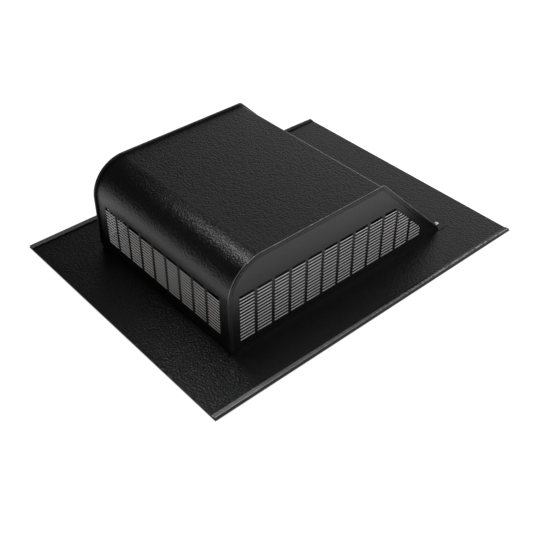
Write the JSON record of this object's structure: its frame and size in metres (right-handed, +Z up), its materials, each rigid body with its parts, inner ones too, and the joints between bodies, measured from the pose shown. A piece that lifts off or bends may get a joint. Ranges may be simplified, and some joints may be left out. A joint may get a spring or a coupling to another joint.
{
  "type": "static roof louver",
  "caption": "Slant-back static roof louver: louvred sheet hood with standing side seams over a round collared throat, on a flat base sheet with folded side hems.",
  "frame": {"origin": "centre of the base sheet's underside, where it lies on the roof", "axes": "+Z up from the roof, -Y towards the louvred front, which faces down the slope, X across the width"},
  "size_m": [0.3938, 0.508, 0.127],
  "materials": {
    "black_paint": "satin black paint over embossed sheet",
    "bare_rivet": "bare, bright"
  },
  "bodies": {
    "root": {"base_flashing": "black_paint", "hood_sheet": "black_paint", "side_panel_left": "black_paint", "side_panel_right": "black_paint", "rear_rivets": "bare_rivet"}
  },
  "joints": []
}
